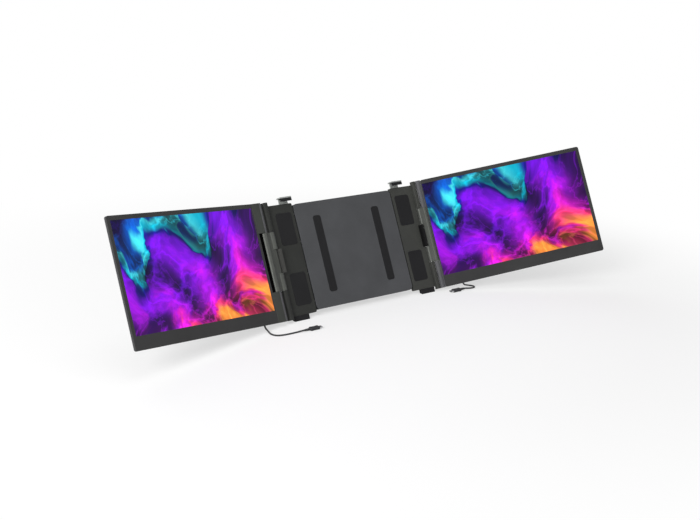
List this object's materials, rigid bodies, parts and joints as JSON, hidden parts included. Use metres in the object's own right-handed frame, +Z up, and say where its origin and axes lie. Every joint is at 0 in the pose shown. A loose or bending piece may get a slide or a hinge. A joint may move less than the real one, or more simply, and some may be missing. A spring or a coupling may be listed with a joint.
{
  "type": "laptop screen extender",
  "caption": "Clip-on laptop screen extender: a telescopic bracket with a kickstand behind the laptop's lid, and a hinged portable monitor on each side, with leads.",
  "frame": {"origin": "on the surface it stands on, under the middle of the bounding box of everything but the leads and plugs", "axes": "+X to the right as the user sees the screens, +Y to the back, +Z up; the bracket leans back 26 degrees about X"},
  "size_m": [1.083, 0.2741, 0.277],
  "materials": {
    "housing_metal": "satin anodised",
    "arm_metal": "satin anodised",
    "link_metal": "satin anodised",
    "cover_metal": "satin",
    "black_inlay": "glossy",
    "case_plastic": "satin",
    "back_plastic": "fine grain",
    "screen_glass": "glossy, lit",
    "backlight_sheet": "satin",
    "rubber": "matt",
    "clip_rubber": "matt",
    "steel": "satin",
    "slide_plastic": "smooth",
    "board": "lacquered",
    "button_plastic": "satin",
    "lead_sheath": "satin",
    "plug_shell": "satin"
  },
  "bodies": {
    "bracket": {"front_panel": "housing_metal", "back_panel": "housing_metal", "lid_pads": "rubber", "slide_rails": "steel", "slide_pads": "slide_plastic", "bracket_screws": "steel", "kickstand_pin": "steel"},
    "kickstand": {"kickstand": "housing_metal", "kickstand_foot": "rubber"},
    "left_arm": {"left_arm": "arm_metal", "left_arm_pad": "rubber", "left_side_clip": "clip_rubber", "left_foot": "rubber", "left_inner_pin": "steel"},
    "left_hook": {"left_top_hook": "arm_metal", "left_hook_pad": "rubber"},
    "left_link": {"left_link": "link_metal"},
    "left_monitor": {"left_bezel": "case_plastic", "left_display": "screen_glass", "left_backlight": "backlight_sheet", "left_rear_cover": "back_plastic", "left_outer_pin": "steel", "left_hinge_cover": "cover_metal", "left_inlay": "black_inlay", "left_driver_board": "board", "left_port_board": "board", "left_ports": "steel", "left_cover_screws": "steel", "left_cable_gland": "lead_sheath", "left_cable": "lead_sheath", "left_plug": "plug_shell", "left_plug_contact": "steel"},
    "left_power_button": {"left_power_button": "button_plastic"},
    "left_menu_button": {"left_menu_button": "button_plastic"},
    "right_arm": {"right_arm": "arm_metal", "right_arm_pad": "rubber", "right_side_clip": "clip_rubber", "right_foot": "rubber", "right_inner_pin": "steel"},
    "right_hook": {"right_top_hook": "arm_metal", "right_hook_pad": "rubber"},
    "right_link": {"right_link": "link_metal"},
    "right_monitor": {"right_bezel": "case_plastic", "right_display": "screen_glass", "right_backlight": "backlight_sheet", "right_rear_cover": "back_plastic", "right_outer_pin": "steel", "right_driver_board": "board", "right_port_board": "board", "right_ports": "steel", "right_cover_screws": "steel", "right_cable_gland": "lead_sheath", "right_cable": "lead_sheath", "right_plug": "plug_shell", "right_plug_contact": "steel"},
    "right_power_button": {"right_power_button": "button_plastic"},
    "right_menu_button": {"right_menu_button": "button_plastic"}
  },
  "joints": [
    {"name": "kickstand_hinge", "type": "hinge", "parent": "bracket", "child": "kickstand", "pos_m": [0.02261, 0.0865, 0.13217], "axis": [1, 0, 0], "range_deg": [-46, 14]},
    {"name": "left_arm_slide", "type": "slide", "parent": "bracket", "child": "left_arm", "axis": [-1, 0, 0], "range_m": [-0.002, 0.02]},
    {"name": "left_hook_slide", "type": "slide", "parent": "left_arm", "child": "left_hook", "axis": [0, 0.4384, 0.8988], "range_m": [-0.008, 0.016]},
    {"name": "left_link_hinge", "type": "hinge", "parent": "left_arm", "child": "left_link", "pos_m": [-0.16239, 0.05549, 0.10579], "axis": [0, 0.4384, 0.8988], "range_deg": [-35.5, 74.5]},
    {"name": "left_monitor_hinge", "type": "hinge", "parent": "left_link", "child": "left_monitor", "pos_m": [-0.18118, 0.05081, 0.10808], "axis": [0, 0.4384, 0.8988], "range_deg": [-15, 90]},
    {"name": "left_power_press", "type": "slide", "parent": "left_monitor", "child": "left_power_button", "axis": [0.9636, 0.2402, -0.1172], "range_m": [0, 0.0005], "stiffness_N_per_m": 900, "springref_m": -0.001},
    {"name": "left_menu_press", "type": "slide", "parent": "left_monitor", "child": "left_menu_button", "axis": [0.9636, 0.2402, -0.1172], "range_m": [0, 0.0005], "stiffness_N_per_m": 900, "springref_m": -0.001},
    {"name": "right_arm_slide", "type": "slide", "parent": "bracket", "child": "right_arm", "axis": [1, 0, 0], "range_m": [-0.002, 0.02]},
    {"name": "right_hook_slide", "type": "slide", "parent": "right_arm", "child": "right_hook", "axis": [0, 0.4384, 0.8988], "range_m": [-0.008, 0.016]},
    {"name": "right_link_hinge", "type": "hinge", "parent": "right_arm", "child": "right_link", "pos_m": [0.20761, 0.05549, 0.10579], "axis": [0, -0.4384, -0.8988], "range_deg": [-45.5, 64.5]},
    {"name": "right_monitor_hinge", "type": "hinge", "parent": "right_link", "child": "right_monitor", "pos_m": [0.21664, 0.05162, 0.10768], "axis": [0, -0.4384, -0.8988], "range_deg": [-15, 90]},
    {"name": "right_power_press", "type": "slide", "parent": "right_monitor", "child": "right_power_button", "axis": [-0.9026, 0.3869, -0.1887], "range_m": [0, 0.0005], "stiffness_N_per_m": 900, "springref_m": -0.001},
    {"name": "right_menu_press", "type": "slide", "parent": "right_monitor", "child": "right_menu_button", "axis": [-0.9026, 0.3869, -0.1887], "range_m": [0, 0.0005], "stiffness_N_per_m": 900, "springref_m": -0.001}
  ]
}
